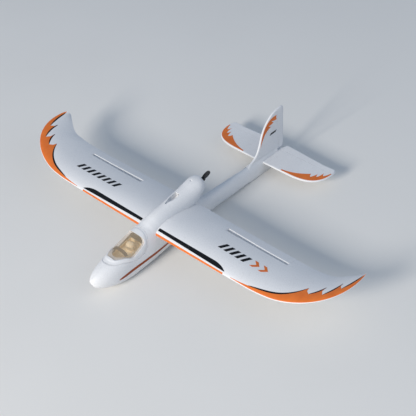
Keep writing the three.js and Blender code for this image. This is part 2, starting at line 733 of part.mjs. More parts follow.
/** A straight wire from the servo arm to the horn, running past both pivots. */
function rodSolid({ x, frontY, frontZ, rearY, rearZ }) {
  const start = new THREE.Vector3(x, frontY, frontZ);
  const end = new THREE.Vector3(x, rearY, rearZ);
  const over = end.clone().sub(start).setLength(ROD.overrun);
  return bar([...start.clone().sub(over)], [...end.clone().add(over)], ROD.radius, 8);
}

/** The horn under the elevator's joining strip. */
function elevatorHornSolid() {
  const { elevatorY: y } = TAIL;
  const { x, rearZ: z } = ELEVATOR_LINK;
  const rootZ = 24.1;
  const outline = polygon(
    [y - 1.6, z - 1.2], [y + 1.4, z - 1.6], [y + 6, rootZ], [y + 2.4, rootZ], [y - 1.6, z + 1.2]);
  const plateX = x - ROD.side;
  const hole = bar([plateX - 5, y, z], [plateX + 5, y, z], LINK_HOLE, 8);
  return sidePrism(outline, plateX - HORN / 2, plateX + HORN / 2).subtract(hole);
}

/** The horn on the right face of the rudder. */
function rudderHornSolid() {
  const { rudderY: y, plate } = TAIL;
  const { x, rearZ } = RUDDER_LINK;
  const face = -plate / 2 - GAP;
  const top = rearZ - ROD.radius - GAP;
  const outline = polygon(
    [x - 1.6, y - 1.2], [x + 1.4, y - 1.6], [face, y + 3], [face, y + 9], [x - 1.6, y + 1.4]);
  const hole = bar([x, y, top - 5], [x, y, top + 5], LINK_HOLE, 8);
  return planPrism(outline, top - HORN, top).subtract(hole);
}

/** The horn under the left aileron. */
function aileronHornSolid(aileron) {
  const { x, rearY: y, rearZ: z } = AILERON_LINK;
  const rootZ = 60;
  const outline = polygon(
    [y - 1.6, z - 1.2], [y + 1.4, z - 1.6], [y + 10, rootZ], [y + 2.2, rootZ], [y - 1.6, z + 1.2]);
  const plate = sidePrism(outline, x - HORN / 2, x + HORN / 2);
  const skin = aileron.add(aileron.translate([0, 0, -GAP])).add(aileron.translate([0, 0, -2 * GAP]));
  const cut = plate.subtract(skin).subtract(block([x - 5, y, 58], [x + 5, y + 20, 80]));
  return cut.subtract(bar([x - 5, y, z], [x + 5, y, z], LINK_HOLE, 8));
}

/** The aileron rod lies beside the arm and horn, outboard of them. */
const aileronRod = () => rodSolid({ ...AILERON_LINK, x: AILERON_LINK.x + ROD.side });

// ---------------------------------------------------------------- cabin contents
/** The loop of tape round the battery. */
function strapSolid() {
  const { low, high } = BATTERY;
  const { frontY, width, thickness } = STRAP;
  const loop = (grow, frontEnd, rearEnd) => block(
    [low[0] - grow, frontEnd, low[2] - grow],
    [high[0] + grow, rearEnd, high[2] + grow],
  );
  const outer = loop(GAP + thickness, frontY, frontY + width);
  return outer.subtract(loop(GAP, frontY - 1, frontY + width + 1));
}

// ---------------------------------------------------------------- materials
const foam = new THREE.MeshStandardMaterial({ color: 0xe9e8e6, roughness: 0.75, metalness: 0 });
const glazing = new THREE.MeshStandardMaterial({
  color: 0xc9a877, roughness: 0.15, metalness: 0, transparent: true, opacity: 0.6,
});
const blackPlastic = new THREE.MeshStandardMaterial({ color: 0x17181a, roughness: 0.4, metalness: 0 });
const greyPlastic = new THREE.MeshStandardMaterial({ color: 0xcfc9bd, roughness: 0.6, metalness: 0 });
const whiteNylon = new THREE.MeshStandardMaterial({ color: 0xf0efe9, roughness: 0.45, metalness: 0 });
const blueCase = new THREE.MeshStandardMaterial({ color: 0x1f4f9c, roughness: 0.3, metalness: 0 });
const heatShrink = new THREE.MeshStandardMaterial({ color: 0x2a2c31, roughness: 0.45, metalness: 0 });
const steel = new THREE.MeshStandardMaterial({ color: 0xb9bcc0, roughness: 0.3, metalness: 1 });
const carbon = new THREE.MeshStandardMaterial({ color: 0x1c1d1f, roughness: 0.4, metalness: 0.1 });
const anodised = new THREE.MeshStandardMaterial({ color: 0x8e9399, roughness: 0.35, metalness: 1 });
const copper = new THREE.MeshStandardMaterial({ color: 0x9a5a32, roughness: 0.5, metalness: 0.8 });
const webbing = new THREE.MeshStandardMaterial({ color: 0x3a3a3c, roughness: 0.9, metalness: 0 });

// ---------------------------------------------------------------- assembly
const airplane = new THREE.Group();
airplane.position.y = -LENGTH / 2;

/** Adds one named piece, made from a solid or a closed geometry. */
function piece(name, shape, material) {
  const geometry = shape.isBufferGeometry ? shape : toGeometry(shape);
  const mesh = new THREE.Mesh(geometry, material);
  mesh.name = name;
  airplane.add(mesh);
}

const foamBody = fuselageSolid();
piece("fuselage_left", fuselageHalf(foamBody, 1), foam);
piece("fuselage_right", fuselageHalf(foamBody, -1), foam);
piece("canopy_hatch", hatchSolid(), foam);
piece("canopy_window", windowSolid(), glazing);
piece("window_bow", windowBowSolid(), blackPlastic);
piece("cockpit_tub", cockpitTubSolid(), greyPlastic);
piece("vertical_fin", finSolid(), foam);
piece("rudder", rudderSolid(), foam);
piece("horizontal_stabilizer", stabilizerSolid(), foam);
piece("elevator", elevatorSolid(), foam);
piece("wing_spar", bar([-SPAR.reach, SPAR.y, SPAR.z], [SPAR.reach, SPAR.y, SPAR.z], SPAR.radius), carbon);

piece("battery", block(BATTERY.low, BATTERY.high), blueCase);
piece("battery_strap", strapSolid(), webbing);
piece("speed_controller", block(CONTROLLER.low, CONTROLLER.high), heatShrink);
piece("receiver", block(RECEIVER.low, RECEIVER.high), whiteNylon);
piece("battery_lead", cable(LEAD.path, LEAD.radius), blackPlastic);

piece("motor_mount", motorMountSolid(), blackPlastic);
piece("motor_stator", statorSolid(), copper);
piece("motor_bell", bellSolid(), anodised);
piece("propeller", propellerSolid(), blackPlastic);
piece("propeller_nut", nutSolid(), steel);

for (const [name, link] of [["elevator", ELEVATOR_LINK], ["rudder", RUDDER_LINK]]) {
  piece(`${name}_servo`, standingServo(link), blueCase);
  piece(`${name}_arm`, standingArm(link), whiteNylon);
  piece(`${name}_pushrod`, rodSolid(link), steel);
}
piece("elevator_horn", elevatorHornSolid(), whiteNylon);
piece("rudder_horn", rudderHornSolid(), whiteNylon);

const leftAileron = aileronSolid();
const wingPieces = {
  wing: [wingPanelSolid(), foam],
  aileron: [leftAileron, foam],
  aileron_servo: [aileronServo(), blueCase],
  aileron_arm: [aileronArm(), whiteNylon],
  aileron_pushrod: [aileronRod(), steel],
  aileron_horn: [aileronHornSolid(leftAileron), whiteNylon],
};
for (const [name, [solid, material]] of Object.entries(wingPieces)) {
  piece(`left_${name}`, solid, material);
  piece(`right_${name}`, mirrorX(solid), material);
}
for (const [side, name] of [[1, "left"], [-1, "right"]]) {
  piece(`hatch_magnet_${name}`, magnetSolid(side, HATCH_MAGNET_Z, HATCH_MAGNET_Z + MAGNET.height), steel);
  piece(`cabin_magnet_${name}`, magnetSolid(side, CABIN_MAGNET_Z, CABIN_MAGNET_Z + MAGNET.height), steel);
}

export default airplane;
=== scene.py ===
"""The looks of an 800 mm foam motor glider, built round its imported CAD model.

Lengths are millimetres while a shape is made and metres once it is a Blender object. x is left,
a station is a distance behind the nose tip, and z is the height above the ground.
"""
import math

import bmesh
import bpy
import numpy as np
from mathutils import Matrix, Vector


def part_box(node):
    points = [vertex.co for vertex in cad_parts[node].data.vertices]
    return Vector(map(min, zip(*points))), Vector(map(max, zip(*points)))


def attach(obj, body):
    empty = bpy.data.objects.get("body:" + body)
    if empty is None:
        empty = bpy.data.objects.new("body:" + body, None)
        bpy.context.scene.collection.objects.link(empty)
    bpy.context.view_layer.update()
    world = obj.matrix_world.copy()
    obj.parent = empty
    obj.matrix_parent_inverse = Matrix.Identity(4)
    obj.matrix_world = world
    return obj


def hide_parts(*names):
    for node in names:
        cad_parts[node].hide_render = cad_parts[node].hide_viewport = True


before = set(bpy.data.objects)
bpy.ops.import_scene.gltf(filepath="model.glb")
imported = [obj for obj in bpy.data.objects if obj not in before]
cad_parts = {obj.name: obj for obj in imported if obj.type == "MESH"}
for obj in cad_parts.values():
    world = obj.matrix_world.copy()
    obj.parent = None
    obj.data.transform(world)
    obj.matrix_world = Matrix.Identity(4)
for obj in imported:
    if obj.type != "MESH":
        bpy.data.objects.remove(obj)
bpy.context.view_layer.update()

SPAN = 800
LENGTH = 542
GAP = 0.3
FAR = 100

# ---------------------------------------------------------------- shape tables
# Station, bottom z, top z, half width, roundness (2 is an ellipse, more is squarer).
BODY = np.array([
    [0, 35, 43, 4, 2],
    [4, 26, 46.5, 9, 2],
    [12, 18.5, 51, 14.5, 2.1],
    [24, 12.5, 55.5, 19.3, 2.2],
    [40, 6.5, 60, 23, 2.35],
    [60, 1.5, 65, 25, 2.5],
    [85, -1.2, 71, 25.5, 2.6],
    [112, -1.2, 77, 26.5, 2.5],
    [138, -1.2, 81.5, 27, 2.3],
    [165, -1.2, 85, 26, 2.1],
    [195, -0.8, 82, 23.5, 2],
    [230, 0.8, 69, 19.5, 2],
    [262, 3, 57, 16, 2],
    [290, 4.6, 49.5, 13.2, 2.1],
    [318, 5, 46.5, 11.2, 2.2],
    [380, 3.6, 42.2, 10, 2.2],
    [430, 2.2, 38.6, 8.8, 2.2],
    [475, 0, 36.4, 6.8, 2.2],
    [497, -0.8, 35.6, 5.8, 2.2],
    [505, 3.5, 35.2, 5.4, 2.2],
    [511, 13, 34.8, 5, 2.2],
    [515, 24, 34.4, 4.2, 2.2],
])
POD = np.array([
    [146, 56, 78, 8, 2],
    [165, 50, 88, 13, 2],
    [195, 46, 94.5, 16.2, 2.1],
    [225, 46, 98.5, 18, 2.2],
    [250, 50, 102, 19.2, 2.2],
    [264, 56, 104.6, 19.6, 2.2],
    [274, 63, 105.8, 19.6, 2.2],
    [281, 68.5, 105.6, 18.8, 2.2],
    [287, 72, 104.8, 17.2, 2.1],
    [290, 73.8, 104.2, 15.6, 2],
])
CABIN = np.array([
    [26, 22, 46, 9, 2],
    [40, 11, 54, 17.5, 2.3],
    [60, 6.5, 60, 20, 2.6],
    [112, 5, 72, 21.5, 2.6],
    [134, 5, 72, 21, 2.5],
    [150, 5, 56, 18, 2.6],
    [180, 6, 50, 14.5, 2.8],
    [222, 8, 46, 13, 2.8],
])
FIN_ROOT = {"low": 424, "high": 513, "half": 2.2, "fillet": 7}
FIN_ROOT_TOP = [(424, 430, 446, 513), (36, 40.5, 45.5, 43)]
POD_AXIS_Z = 89.5
WING_Y = (146.5, 266)
SWEPT_X = 230
SADDLE_X = 30
ROOT_X = 16
SERVO_TOP = 28.5
ROD_CHANNEL = 1.9
TIP = (SPAN / 2, 297)
AILERON = {"inner": 115, "outer": 262, "y": 243.5, "z": 55.2}
STAB = {"y": 464, "z": 29.9, "droop": 0.05, "half_span": 140.5}
PLATE = 4.4
STAB_EDGE = 2.4
FIN_EDGE = 3.0
ELEVATOR_HINGE = (521.5, 29)
RUDDER_HINGE = (518.5, 2)


# ---------------------------------------------------------------- meshes
def mesh_object(name, points, faces):
    mesh = bpy.data.meshes.new(name)
    mesh.from_pydata([tuple(map(float, p)) for p in points], [], [tuple(map(int, f)) for f in faces])
    mesh.update()
    obj = bpy.data.objects.new(name, mesh)
    bpy.context.scene.collection.objects.link(obj)
    return obj


def face_outward(obj):
    work = bmesh.new()
    work.from_mesh(obj.data)
    bmesh.ops.recalc_face_normals(work, faces=work.faces)
    work.to_mesh(obj.data)
    work.free()
    return obj


def loft(name, rings):
    """Skins rings of equal length and closes both ends with a fan."""
    count = len(rings[0])
    points = [p for ring in rings for p in ring]
    faces = []
    for r in range(len(rings) - 1):
        for i in range(count):
            a, b = r * count + i, r * count + (i + 1) % count
            faces.append((a, b, b + count, a + count))
    for ring, first in ((rings[0], 0), (rings[-1], (len(rings) - 1) * count)):
        points.append(np.mean(np.array(ring), axis=0))
        hub = len(points) - 1
        faces += [(hub, first + i, first + (i + 1) % count) for i in range(count)]
    return face_outward(mesh_object(name, points, faces))


def block(low, high):
    corners = [(x, y, z) for x in (low[0], high[0]) for y in (low[1], high[1]) for z in (low[2], high[2])]
    faces = [(0, 1, 3, 2), (4, 6, 7, 5), (0, 4, 5, 1), (2, 3, 7, 6), (0, 2, 6, 4), (1, 5, 7, 3)]
    return face_outward(mesh_object("block", corners, faces))


def prism(outline, axis, low, high):
    """An outline drawn across one axis, solid from low to high along it."""
    place = {
        "x": lambda a, b, h: (h, a, b),
        "z": lambda a, b, h: (a, b, h),
    }[axis]
    count = len(outline)
    points = [place(a, b, h) for h in (low, high) for a, b in outline]
    faces = [tuple(range(count)), tuple(range(count, 2 * count))]
    faces += [(i, (i + 1) % count, (i + 1) % count + count, i + count) for i in range(count)]
    return face_outward(mesh_object("prism", points, faces))


def bar(start, end, radius, sides=32):
    start, end = Vector(start), Vector(end)
    turn = Vector((0, 0, 1)).rotation_difference(end - start).to_matrix()
    rings = []
    for middle in (start, end):
        rings.append([
            middle + turn @ Vector((radius * math.cos(a), radius * math.sin(a), 0))
            for a in (2 * math.pi * i / sides for i in range(sides))
        ])
    return loft("bar", rings)


def drop(*objects):
    for obj in objects:
        bpy.data.objects.remove(obj)


def combine(obj, operation, *tools):
    """Joins, cuts or intersects obj with each tool, and uses the tools up."""
    for tool in tools:
        step = obj.modifiers.new("step", "BOOLEAN")
        step.operation = operation
        step.solver = "MANIFOLD"
        step.object = tool
    bake(obj)
    drop(*tools)
    return obj


def bake(obj):
    """Applies the object's modifiers to its mesh."""
    graph = bpy.context.evaluated_depsgraph_get()
    mesh = bpy.data.meshes.new_from_object(obj.evaluated_get(graph))
    obj.modifiers.clear()
    obj.data = mesh
    return obj


def copy_of(obj):
    twin = obj.copy()
    twin.data = obj.data.copy()
    bpy.context.scene.collection.objects.link(twin)
    return twin


def mirrored(obj):
    twin = copy_of(obj)
    twin.data.transform(Matrix.Scale(-1, 4, (1, 0, 0)))
    twin.data.flip_normals()
    return twin


def moved(obj, x=0, y=0, z=0):
    obj.data.transform(Matrix.Translation((x, y, z)))
    return obj


def vertices(obj):
    flat = np.empty(len(obj.data.vertices) * 3)
    obj.data.vertices.foreach_get("co", flat)
    return flat.reshape(-1, 3)


def set_vertices(obj, points):
    obj.data.vertices.foreach_set("co", np.asarray(points, float).ravel())
    obj.data.update()


def publish(obj, name, body, material, replaces=(), crease=32):
    """Turns a millimetre solid into a finished piece of the model in metres."""
    obj.name = name
    obj.data.name = name
    obj.data.transform(Matrix.Translation((0, -LENGTH / 2, 0)))
    obj.data.transform(Matrix.Scale(0.001, 4))
    work = bmesh.new()
    work.from_mesh(obj.data)
    bmesh.ops.dissolve_degenerate(work, dist=1e-7, edges=work.edges)
    for face in work.faces:
        face.smooth = True
    for edge in work.edges:
        edge.smooth = edge.is_manifold and edge.calc_face_angle(0) < math.radians(crease)
    work.to_mesh(obj.data)
    work.free()
    obj.data.materials.clear()
    obj.data.materials.append(material)
    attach(obj, body)
    if replaces:
        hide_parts(*replaces)
    return obj


# ---------------------------------------------------------------- curves
def bezier(*controls, steps=14):
    """Points along one Bezier curve, without its first."""
    controls = np.array(controls, float)
    rows = []
    for t in np.linspace(0, 1, steps + 1)[1:]:
        points = controls
        while len(points) > 1:
            points = points[:-1] * (1 - t) + points[1:] * t
        rows.append(points[0])
    return rows


def path(start, *legs, steps=14):
    """A polyline from start through legs: one point is a line, two or three are a curve."""
    points = [np.array(start, float)]
    for leg in legs:
        if isinstance(leg[0], (int, float)):
            points.append(np.array(leg, float))
        else:
            points += bezier(points[-1], *leg, steps=steps)
    return points


def along(points, shares):
    """Points at the given shares of a polyline's length."""
    points = np.array(points)
    run = np.concatenate([[0], np.cumsum(np.linalg.norm(np.diff(points, axis=0), axis=1))])
    return np.array([[np.interp(s * run[-1], run, points[:, c]) for c in (0, 1)] for s in shares])


def hermite(table, column, stations):
    """One smooth value between the rows of a station table."""
    y, v = table[:, 0], table[:, column]
    slopes = np.empty(len(y))
    slopes[1:-1] = (v[2:] - v[:-2]) / (y[2:] - y[:-2])
    slopes[0] = (v[1] - v[0]) / (y[1] - y[0])
    slopes[-1] = (v[-1] - v[-2]) / (y[-1] - y[-2])
    stations = np.clip(stations, y[0], y[-1])
    k = np.clip(np.searchsorted(y, stations, side="right") - 1, 0, len(y) - 2)
    width = y[k + 1] - y[k]
    t = (stations - y[k]) / width
    return (
        (2 * t**3 - 3 * t**2 + 1) * v[k]
        + (t**3 - 2 * t**2 + t) * slopes[k] * width
        + (3 * t**2 - 2 * t**3) * v[k + 1]
        + (t**3 - t**2) * slopes[k + 1] * width
    )


# ---------------------------------------------------------------- fuselage
def body_solid(table, inset=0.0, pitch=2.0, sides=112, low=None, high=None):
    """The smooth solid skinned over a station table, inset from its surface."""
    low = table[0, 0] if low is None else low
    high = table[-1, 0] if high is None else high
    stations = np.linspace(low, high, max(int((high - low) / pitch), 2))
    if low == 0:
        stations = np.concatenate([[0, 0.4, 1.0], stations[1:]])
    angles = (np.arange(sides) + 0.5) / sides * 2 * math.pi
    rings = []
    for y in stations:
        bottom, top, wide, roundness = (float(hermite(table, c, y)) for c in (1, 2, 3, 4))
        height = max((top - bottom) / 2 - inset, 0.5)
        width = max(wide - inset, 0.5)
        bulge = lambda v: np.sign(v) * np.abs(v) ** (2 / roundness)
        x = bulge(np.sin(angles)) * width
        z = (bottom + top) / 2 + bulge(np.cos(angles)) * height
        rings.append(np.column_stack([x, np.full(sides, y), z]))
    return loft("body", rings)


def distance_to(table, points):
    """Signed distance, measured away from the table's centre line."""
    x, y, z = points.T
    bottom, top, wide, roundness = (hermite(table, c, y) for c in (1, 2, 3, 4))
    height = (top - bottom) / 2
    dz = z - (top + bottom) / 2
    reach = np.maximum(np.hypot(x, dz), 1e-6)
    level = ((np.abs(x) / wide) ** roundness + (np.abs(dz) / height) ** roundness) ** (1 / roundness)
    past = np.maximum(table[0, 0] - y, 0) + np.maximum(y - table[-1, 0], 0)
    return reach * (1 - 1 / np.maximum(level, 1e-6)) + past


def fin_root_distance(points):
    """Signed distance to the lowest part of the fin, which the skin rises to meet."""
    x, y, z = points.T
    return np.maximum(np.abs(x) - FIN_ROOT["half"], z - np.interp(y, *FIN_ROOT_TOP))


def melt(a, b, fillet):
    """The lower of two distances, with a concave fillet where they are close."""
    overlap = np.maximum(fillet - np.abs(a - b), 0) / fillet
    return np.minimum(a, b) - overlap**2 * fillet / 4


def faired_distance(points):
    """Distance to the body, pod and fin root, melted together."""
    skin = melt(distance_to(BODY, points), distance_to(POD, points), 16)
    near_fin = (points[:, 1] > FIN_ROOT["low"]) & (points[:, 1] < FIN_ROOT["high"])
    return np.where(near_fin, melt(skin, fin_root_distance(points), FIN_ROOT["fillet"]), skin)


def fuselage_skin():
    """Body and pod as one evenly meshed skin, drawn onto the faired surface."""
    stations, heights = FIN_ROOT_TOP
    ridge = [(stations[0], 20), *zip(stations, heights), (stations[-1], 20)]
    blade = prism(ridge, "x", -FIN_ROOT["half"], FIN_ROOT["half"])
    skin = combine(body_solid(BODY), "UNION", body_solid(POD), blade)
    remesh = skin.modifiers.new("remesh", "REMESH")
    remesh.mode = "VOXEL"
    remesh.voxel_size = 1.1
    bake(skin)
    points = vertices(skin)
    step = 0.05
    moving = (points[:, 1] > 5) & (points[:, 1] < 287.5) | (points[:, 1] > 293) & (points[:, 1] < 513)
    for _ in range(6):
        here = points[moving]
        value = faired_distance(here)
        slope = np.column_stack([
            (faired_distance(here + offset) - faired_distance(here - offset)) / (2 * step)
            for offset in np.eye(3) * step
        ])
        size = np.maximum((slope**2).sum(axis=1), 0.25)
        points[moving] = here - slope * np.clip(value / size, -2, 2)[:, None]
    points[:, 2] = np.maximum(points[:, 2], 0)
    set_vertices(skin, points)
    return skin


def hatch_outline(grow=0.0):
    return path(
        (38 - grow, FAR + 20),
        (38 - grow, 60.5 - grow),
        [(44 - grow, 56.5 - grow), (58, 56 - grow), (69, 51.5 - grow)],
        [(78, 47.5 - grow), (86, 44.4 - grow), (96, 44.4 - grow)],
        [(117 + grow, 44.4 - grow), (134 + grow, 58), (137 + grow, FAR + 20)],
        steps=24,
    )


def window_outline(grow=0.0):
    return path(
        (52.5 - grow, FAR),
        (52.5 - grow, 62.5 - grow),
        [(58, 61.5 - grow), (68, 61.2 - grow), (75, 58 - grow)],
        [(80, 55 - grow), (84, 53.2 - grow), (90, 54.6 - grow)],
        (103, 59.4 - grow),
        [(112 + grow, 62.8 - grow), (119 + grow, 64.5), (118.7 + grow, 72)],
        [(118.6 + grow, 77), (113.5 + grow, 77), (112.5 + grow, FAR)],
        steps=18,
    )


def inlet():
    """The cooling inlet in the crown: a ramp with round-cornered ends, deepest at the rear."""
    floor = [(196, 93.9), (206, 92.6), (216, 89), (230, 87)]
    ramp = [(196, 110), *floor, (236, 89), (231.5, 98), (231.5, 112)]
    plan = path(
        (-1.8, 199),
        [(-1.8, 197), (1.8, 197), (1.8, 199)],
        [(2.6, 210), (5.6, 208), (5.8, 217)],
        (5.8, 229),
        [(5.8, 239), (-5.8, 239), (-5.8, 229)],
        (-5.8, 217),
        [(-5.6, 208), (-2.6, 210), (-1.8, 199)],
        steps=12,
    )
    return combine(prism(ramp, "x", -10, 10), "INTERSECT", prism(plan, "z", 70, 120))


def servo_box(x, y, top):
    return block((x - 4.55, y - 9.3, top - 17.3), (x + 4.55, y + 19.3, top + 8))


def seam_groove():
    """The seam round the hatch: a rebate reaching 0.8 mm past its outline and 1 mm into the skin."""
    around = prism(hatch_outline(0.8), "x", -FAR, FAR)
    return combine(around, "DIFFERENCE", body_solid(BODY, 1.0, low=20, high=160))


def fuselage_halves():
    skin = fuselage_skin()
    saddle = wing_solid(grow=GAP, high_x=60)
    cuts = [
        body_solid(CABIN),
        prism(hatch_outline(GAP), "x", -FAR, FAR),
        saddle,
        mirrored(saddle),
        inlet(),
        bar((0, 262, POD_AXIS_Z), (0, 320, POD_AXIS_Z), 13, 64),
        bar((0, 264, POD_AXIS_Z), (0, 205, 40), 5),
        bar((0, 226, 92), (0, 266, 86), 3.4),
        bar((-FAR, 188, 66), (FAR, 188, 66), 2.3),
        servo_box(8.5, 196, SERVO_TOP),
        servo_box(2, 160, SERVO_TOP),
        bar((1.5, 196, 33.4), (1.5, 521.5, 19), ROD_CHANNEL, 16),
        bar((-5, 160, 33.4), (-5, 518.5, 38), ROD_CHANNEL, 16),
        bar((0, 269, 111), (0, 269, 103.9), 2.5, 40),
        seam_groove(),
        stab_plate(GAP, 3),
        fin_plate(GAP, 3),
    ]
    combine(skin, "DIFFERENCE", *cuts)
    halves = []
    for low, high in ((GAP / 4, FAR), (-FAR, -GAP / 4)):
        halves.append(combine(copy_of(skin), "INTERSECT", block((low, -10, -1), (high, 560, 200))))
    drop(skin)
    return halves


def raised_frame(obj):
    """Lifts the hatch's rim round the window a little, with a soft step down to the seam."""
    points = vertices(obj)
    seam = np.array(hatch_outline())
    flat = points[:, 1:]
    marks = along(seam, np.linspace(0, 1, 160))
    gap = np.min(np.linalg.norm(flat[:, None, :] - marks[None], axis=2), axis=1)
    share = np.clip((gap - 3.6) / 1.1, 0, 1)
    lift = 0.8 * share * share * (3 - 2 * share)
    skin_gap = distance_to(BODY, points)
    outer = skin_gap > -0.6
    radial = points.copy()
    radial[:, 1] = 0
    radial[:, 2] -= 34
    radial /= np.linalg.norm(radial, axis=1)[:, None]
    points[outer] += radial[outer] * lift[outer, None]
    set_vertices(obj, points)
    return obj


def hatch_shell():
    span = {"low": 30, "high": 146, "pitch": 0.9, "sides": 180}
    core = body_solid(BODY, 4, **{**span, "low": 28, "high": 148})
    shell = combine(body_solid(BODY, **span), "DIFFERENCE", core)
    combine(shell, "INTERSECT", prism(hatch_outline(), "x", -FAR, FAR))
    raised_frame(shell)
    lip = combine(
        block((-FAR, 20, 20), (FAR, 160, 2 * FAR)), "DIFFERENCE",
        prism(hatch_outline(-0.4), "x", -FAR, FAR), body_solid(BODY, 0.9, low=18, high=162))
    return combine(shell, "DIFFERENCE", lip, prism(window_outline(0.45), "x", -FAR, FAR))


def window_pane():
    span = {"low": 46, "high": 126, "pitch": 1.0, "sides": 160}
    core = body_solid(BODY, 1.0, **{**span, "low": 44, "high": 128})
    pane = combine(body_solid(BODY, -0.25, **span), "DIFFERENCE", core)
    return combine(pane, "INTERSECT", prism(window_outline(), "x", -FAR, FAR))


SEAT = {"y": 101, "radius": 8.4, "low": 49.5, "shoulder": 60, "dome": 7.4}


def seat_back():
    """A round post with a domed top."""
    around = np.linspace(0, 2 * math.pi, 49)[:-1]
    rings = []
    for turn in np.radians(np.linspace(0, 84, 12)):
        radius = SEAT["radius"] * math.cos(turn)
        z = SEAT["shoulder"] + SEAT["dome"] * math.sin(turn)
        rings.append([(radius * math.cos(a), SEAT["y"] + radius * math.sin(a), z) for a in around])
    rings.insert(0, [(x, y, SEAT["low"]) for x, y, _ in rings[0]])
    return loft("seat", rings)


def cockpit_tray():
    """A shallow tray under the window, with low walls and a domed seat back."""
    outside = {"low": 52, "high": 120, "pitch": 2, "sides": 96}
    tray = combine(body_solid(BODY, 6.5, **outside), "INTERSECT", block((-FAR, 50, 48.8), (FAR, 122, 56)))
    hollow = combine(
        body_solid(BODY, 7.8, low=53.5, high=118.5), "INTERSECT", block((-FAR, 50, 50), (FAR, 122, FAR)))
    return combine(combine(tray, "DIFFERENCE", hollow), "UNION", seat_back())


# ---------------------------------------------------------------- wing
def leading_y(x):
    return WING_Y[0] + 0.0187 * max(x - SADDLE_X, 0)


LEADING_TIP = path(
    (SWEPT_X, leading_y(SWEPT_X)),
    [(TIP[0] - 80, 150), (TIP[0] + 1, 184), (TIP[0], 266)],
    [(TIP[0], TIP[1] - 8), (TIP[0] - 7, TIP[1])],
    steps=60,
)
TRAILING_TIP = path(
    (SWEPT_X, WING_Y[1]),
    (TIP[0] - 65, WING_Y[1] + 1),
    [(TIP[0] - 48, WING_Y[1] + 1), (TIP[0] - 32, TIP[1] - 16), (TIP[0] - 7.5, TIP[1] + 0.5)],
    steps=60,
)


def wing_rib(front, rear, grow, samples):
    """One rib from the trailing edge over the top to the nose, and back underneath."""
    out = max(front[0], SADDLE_X) / TIP[0]
    thickness = np.interp(out, [0, 0.5, 1], [0.165, 0.115, 0.085])
    settle = min(out / 0.5, 1)
    front_z, rear_z = 65.5 - 3.3 * settle, 58.2 - 3.6 * settle
    chord = max(np.hypot(*(np.array(rear) - front)), 3)
    f = (1 + np.cos(np.pi * np.arange(samples) / (samples - 1))) / 2
    f = np.concatenate([f, f[:-1][::-1]])
    side = np.concatenate([np.ones(samples), -np.ones(samples - 1)])
    shape = 0.2969 * np.sqrt(f) - 0.126 * f - 0.3516 * f**2 + 0.2843 * f**3 - 0.1036 * f**4
    spread = 5 * thickness * shape
    bend = 0.035 * np.where(f < 0.4, (0.8 * f - f**2) / 0.16, (0.2 + 0.8 * f - f**2) / 0.36)
    share = f + grow * (2 * f - 1) / chord
    plan = np.outer(1 - share, front) + np.outer(share, rear)
    rise = 20 * (np.maximum(plan[:, 0] - 292, 0) / 100) ** 1.5
    half = spread * chord + 0.6 * f + grow
    z = front_z + (rear_z - front_z) * f + bend * chord + rise + side * half
    return np.column_stack([plan, z])


def wing_solid(grow=0.0, high_x=None, low_x=ROOT_X, samples=44):
    """The left panel, or only its inner end up to high_x."""
    last = SWEPT_X if high_x is None else high_x
    first = low_x - grow
    ribs = []
    for x in sorted({first, SADDLE_X, *np.linspace(SADDLE_X, last, 26 if high_x is None else 5)}):
        ribs.append(wing_rib((x, leading_y(x)), (x, WING_Y[1]), grow, samples))
    if high_x is None:
        shares = np.linspace(0, 0.985, 60)[1:]
        for front, rear in zip(along(LEADING_TIP, shares), along(TRAILING_TIP, shares)):
            ribs.append(wing_rib(front, rear, grow, samples))
    return loft("wing", ribs)


def behind_aileron(lean, offset):
    y, z = AILERON["y"], AILERON["z"]
    face = y + offset
    relief = math.copysign(2, offset)
    front = [(face + relief, z - 5), (face, z), (face + lean * FAR, z + FAR)]
    return front + [(y + 2 * FAR, z + FAR), (y + 2 * FAR, z - 5)]


def aileron_region(lean, offset, margin=0.0):
    return prism(behind_aileron(lean, offset), "x", AILERON["inner"] + margin, AILERON["outer"] - margin)


def wing_panel(whole):
    servo = frame_box_mm("left_aileron_servo")
    cuts = [
        aileron_region(-0.62, -GAP / 2),
        bar((0, 188, 66), (153, 188, 66), 2.3),
        block(servo[0] - 0.3, servo[1] + 0.3),
        block(
            (servo[0][0] - 0.3, servo[0][1] - 0.3, 40),
            (servo[1][0] + 0.3, servo[1][1] + 0.3, servo[1][2]),
        ),
        block((184, 185.5, 40), (190, 194.5, 66)),
    ]
    return combine(copy_of(whole), "DIFFERENCE", *cuts)


def frame_box_mm(node):
    """A CAD node's box in millimetres, with stations behind the nose."""
    low, high = (np.array(corner) * 1000 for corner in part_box(node))
    return low + (0, LENGTH / 2, 0), high + (0, LENGTH / 2, 0)


# ---------------------------------------------------------------- tail
def offset_outline(outline, distance):
    """Moves a closed outline outwards by a distance."""
    points = np.array(outline)
    before, after = np.roll(points, 1, axis=0), np.roll(points, -1, axis=0)
    tangent = after - before
    tangent /= np.maximum(np.linalg.norm(tangent, axis=1), 1e-9)[:, None]
    normal = np.column_stack([tangent[:, 1], -tangent[:, 0]])
    x, y = points.T
    area = np.sum(x * np.roll(y, -1) - y * np.roll(x, -1))
    return points + normal * distance * math.copysign(1, area)


def even_outline(outline, pitch=1.6):
    """The same closed outline with evenly spaced points."""
    closed = np.vstack([outline, outline[:1]])
    length = np.sum(np.linalg.norm(np.diff(closed, axis=0), axis=1))
    return along(closed, np.linspace(0, 1, int(length / pitch) + 1)[:-1])


